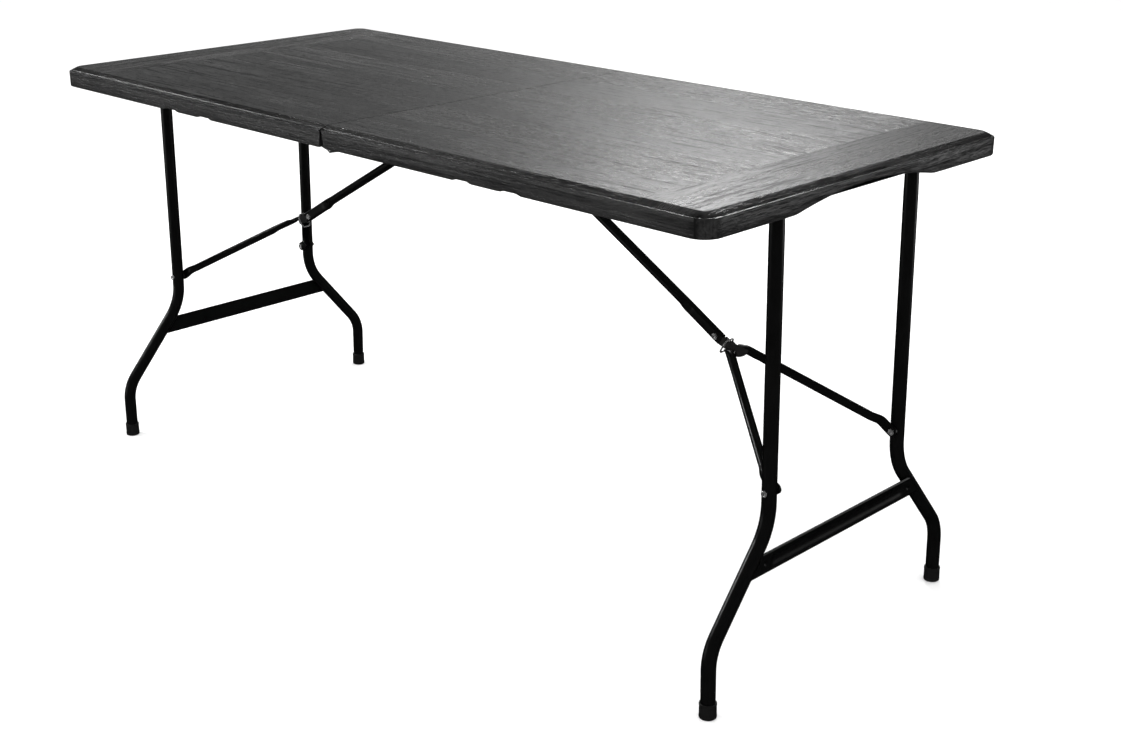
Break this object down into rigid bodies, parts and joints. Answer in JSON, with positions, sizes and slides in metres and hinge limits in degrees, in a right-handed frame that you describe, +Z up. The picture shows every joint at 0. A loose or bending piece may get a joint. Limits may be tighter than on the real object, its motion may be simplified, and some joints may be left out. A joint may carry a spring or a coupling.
{
  "type": "folding table",
  "caption": "Fold-in-half folding table: two moulded wood-look tops, two bent steel leg frames and knee braces with lock rings",
  "frame": {"origin": "On the floor, below the middle of the top.", "axes": "+X runs along the table to the right half, +Y to its back, +Z up."},
  "size_m": [1.52, 0.7, 0.74],
  "materials": {
    "moulded_top": "charcoal moulded polyethylene with a wood-grain relief",
    "leg_enamel": "gloss black powder coat on steel tube",
    "hinge_steel": "dark satin coated steel",
    "bright_zinc": "bright zinc-plated steel",
    "foot_plastic": "black moulded plastic with a soft sheen"
  },
  "bodies": {
    "left_half": {"left_top_panel": "moulded_top", "left_front_leg_pivot_strap": "hinge_steel", "left_front_brace_pivot_strap": "hinge_steel", "left_rear_leg_pivot_strap": "hinge_steel", "left_rear_brace_pivot_strap": "hinge_steel", "front_hinge_left_leaf": "hinge_steel", "rear_hinge_left_leaf": "hinge_steel", "front_hinge_pin": "bright_zinc", "rear_hinge_pin": "bright_zinc"},
    "left_leg_frame": {"left_cross_tube": "leg_enamel", "left_stretcher": "leg_enamel", "left_front_leg_tube": "leg_enamel", "left_front_foot_cap": "foot_plastic", "left_front_leg_rivet": "bright_zinc", "left_rear_leg_tube": "leg_enamel", "left_rear_foot_cap": "foot_plastic", "left_rear_leg_rivet": "bright_zinc"},
    "left_upper_brace": {"left_upper_brace": "leg_enamel", "left_brace_pivot_bar": "bright_zinc", "left_knee_rivet": "bright_zinc"},
    "left_lower_brace": {"left_brace_knuckle": "hinge_steel", "left_front_brace_arm": "leg_enamel", "left_front_arm_rivet": "bright_zinc", "left_rear_brace_arm": "leg_enamel", "left_rear_arm_rivet": "bright_zinc"},
    "left_lock_ring": {"left_lock_ring": "bright_zinc"},
    "right_half": {"right_top_panel": "moulded_top", "right_front_leg_pivot_strap": "hinge_steel", "right_front_brace_pivot_strap": "hinge_steel", "right_rear_leg_pivot_strap": "hinge_steel", "right_rear_brace_pivot_strap": "hinge_steel", "front_hinge_right_leaf": "hinge_steel", "rear_hinge_right_leaf": "hinge_steel"},
    "right_leg_frame": {"right_cross_tube": "leg_enamel", "right_stretcher": "leg_enamel", "right_front_leg_tube": "leg_enamel", "right_front_foot_cap": "foot_plastic", "right_front_leg_rivet": "bright_zinc", "right_rear_leg_tube": "leg_enamel", "right_rear_foot_cap": "foot_plastic", "right_rear_leg_rivet": "bright_zinc"},
    "right_upper_brace": {"right_upper_brace": "leg_enamel", "right_brace_pivot_bar": "bright_zinc", "right_knee_rivet": "bright_zinc"},
    "right_lower_brace": {"right_brace_knuckle": "hinge_steel", "right_front_brace_arm": "leg_enamel", "right_front_arm_rivet": "bright_zinc", "right_rear_brace_arm": "leg_enamel", "right_rear_arm_rivet": "bright_zinc"},
    "right_lock_ring": {"right_lock_ring": "bright_zinc"}
  },
  "joints": [
    {"name": "middle_fold", "type": "hinge", "parent": "left_half", "child": "right_half", "pos_m": [0, 0, 0.7025], "axis": [0, 1, 0], "range_deg": [0, 90]},
    {"name": "left_leg_fold", "type": "hinge", "parent": "left_half", "child": "left_leg_frame", "pos_m": [-0.7252, 0, 0.716], "axis": [0, -1, 0], "range_deg": [0, 91.43]},
    {"name": "left_brace_lift", "type": "hinge", "parent": "left_half", "child": "left_upper_brace", "pos_m": [-0.03, 0, 0.716], "axis": [0, 1, 0], "range_deg": [0, 30.35]},
    {"name": "left_knee", "type": "hinge", "parent": "left_upper_brace", "child": "left_lower_brace", "pos_m": [-0.50447, 0, 0.43825], "axis": [0, -1, 0], "range_deg": [0, 180]},
    {"name": "left_ring_slide", "type": "slide", "parent": "left_upper_brace", "child": "left_lock_ring", "axis": [0.863, 0, 0.5052], "range_m": [0, 0.1031]},
    {"name": "right_leg_fold", "type": "hinge", "parent": "right_half", "child": "right_leg_frame", "pos_m": [0.7252, 0, 0.716], "axis": [0, 1, 0], "range_deg": [0, 91.43]},
    {"name": "right_brace_lift", "type": "hinge", "parent": "right_half", "child": "right_upper_brace", "pos_m": [0.03, 0, 0.716], "axis": [0, -1, 0], "range_deg": [0, 30.35]},
    {"name": "right_knee", "type": "hinge", "parent": "right_upper_brace", "child": "right_lower_brace", "pos_m": [0.50447, 0, 0.43825], "axis": [0, 1, 0], "range_deg": [0, 180]},
    {"name": "right_ring_slide", "type": "slide", "parent": "right_upper_brace", "child": "right_lock_ring", "axis": [-0.863, 0, 0.5052], "range_m": [0, 0.1031]}
  ],
  "couplings": [
    {"joint": "left_brace_lift", "follows": "left_leg_fold", "ratio": 0.33189},
    {"joint": "left_knee", "follows": "left_leg_fold", "ratio": 1.9687},
    {"joint": "left_ring_slide", "follows": "left_leg_fold", "m_per_rad": 0.064546},
    {"joint": "right_brace_lift", "follows": "right_leg_fold", "ratio": 0.33189},
    {"joint": "right_knee", "follows": "right_leg_fold", "ratio": 1.9687},
    {"joint": "right_ring_slide", "follows": "right_leg_fold", "m_per_rad": 0.064546}
  ]
}
